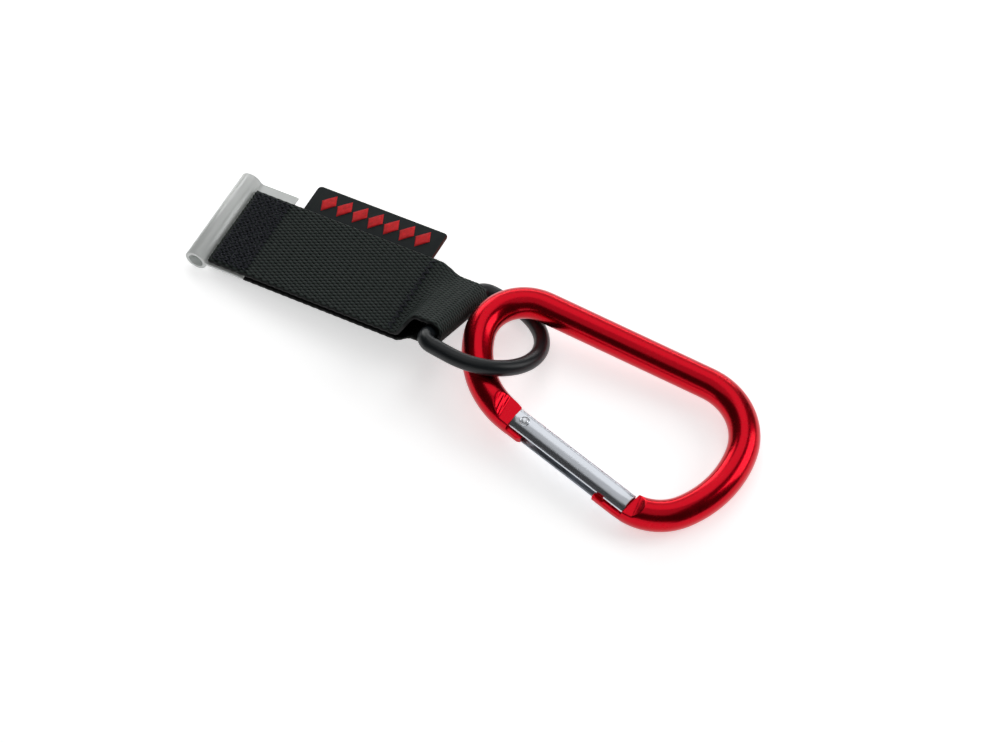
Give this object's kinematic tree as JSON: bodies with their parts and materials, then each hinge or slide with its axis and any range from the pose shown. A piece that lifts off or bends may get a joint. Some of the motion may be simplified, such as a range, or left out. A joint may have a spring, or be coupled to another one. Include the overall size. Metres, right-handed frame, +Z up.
{
  "type": "carabiner keyring",
  "caption": "Strap keyring with a clear tube sleeve, a moulded D-ring and a spring-gate carabiner.",
  "frame": {"origin": "middle of the clear sleeve's bore", "axes": "+X along the strap towards the carabiner, +Y along the bore, +Z up from the table the keyring lies on"},
  "size_m": [0.1559, 0.0522, 0.0185],
  "materials": {
    "clear_vinyl": "clear soft vinyl",
    "webbing": "coarse woven webbing",
    "thread": "sewing thread",
    "label_weave": "fine woven tape",
    "red_thread": "satin embroidery",
    "acetal": "satin moulded",
    "anodised_red": "bright red anodised",
    "plated_steel": "bright nickel plate on sheet steel",
    "rivet_metal": "bright",
    "spring_wire": "drawn wire"
  },
  "bodies": {
    "strap": {"clear_sleeve": "clear_vinyl", "webbing_strap": "webbing", "sleeve_stitching": "thread", "ring_stitching": "thread", "label_tape": "label_weave", "label_embroidery": "red_thread"},
    "ring": {"d_ring": "acetal"},
    "carabiner": {"carabiner_body": "anodised_red"},
    "gate": {"gate_channel": "plated_steel", "gate_rivet": "rivet_metal", "gate_spring": "spring_wire"},
    "plunger": {"gate_plunger": "rivet_metal"}
  },
  "joints": [
    {"name": "ring_pivot", "type": "hinge", "parent": "strap", "child": "ring", "pos_m": [0.06769, -0.0012, 0.00653], "axis": [0.042, 0.8992, -0.4356], "range_deg": [-85, 85]},
    {"name": "carabiner_swing", "type": "hinge", "parent": "ring", "child": "carabiner", "pos_m": [0.08312, -0.00213, 0.00598], "axis": [-0.1885, 0.981, 0.0467], "range_deg": [-60, 0]},
    {"name": "gate_swing", "type": "hinge", "parent": "carabiner", "child": "gate", "pos_m": [0.09881, -0.02116, 0.00429], "axis": [0.0654, -0.0349, 0.9972], "range_deg": [0, 35], "stiffness_Nm_per_rad": 0.05, "springref_deg": -28.65},
    {"name": "plunger_slide", "type": "slide", "parent": "gate", "child": "plunger", "axis": [0.9755, -0.2079, -0.0713], "range_m": [0, 0.0009], "deforming": ["gate_spring"]}
  ],
  "couplings": [
    {"joint": "plunger_slide", "follows": "gate_swing", "m_per_rad": 0.001391}
  ]
}
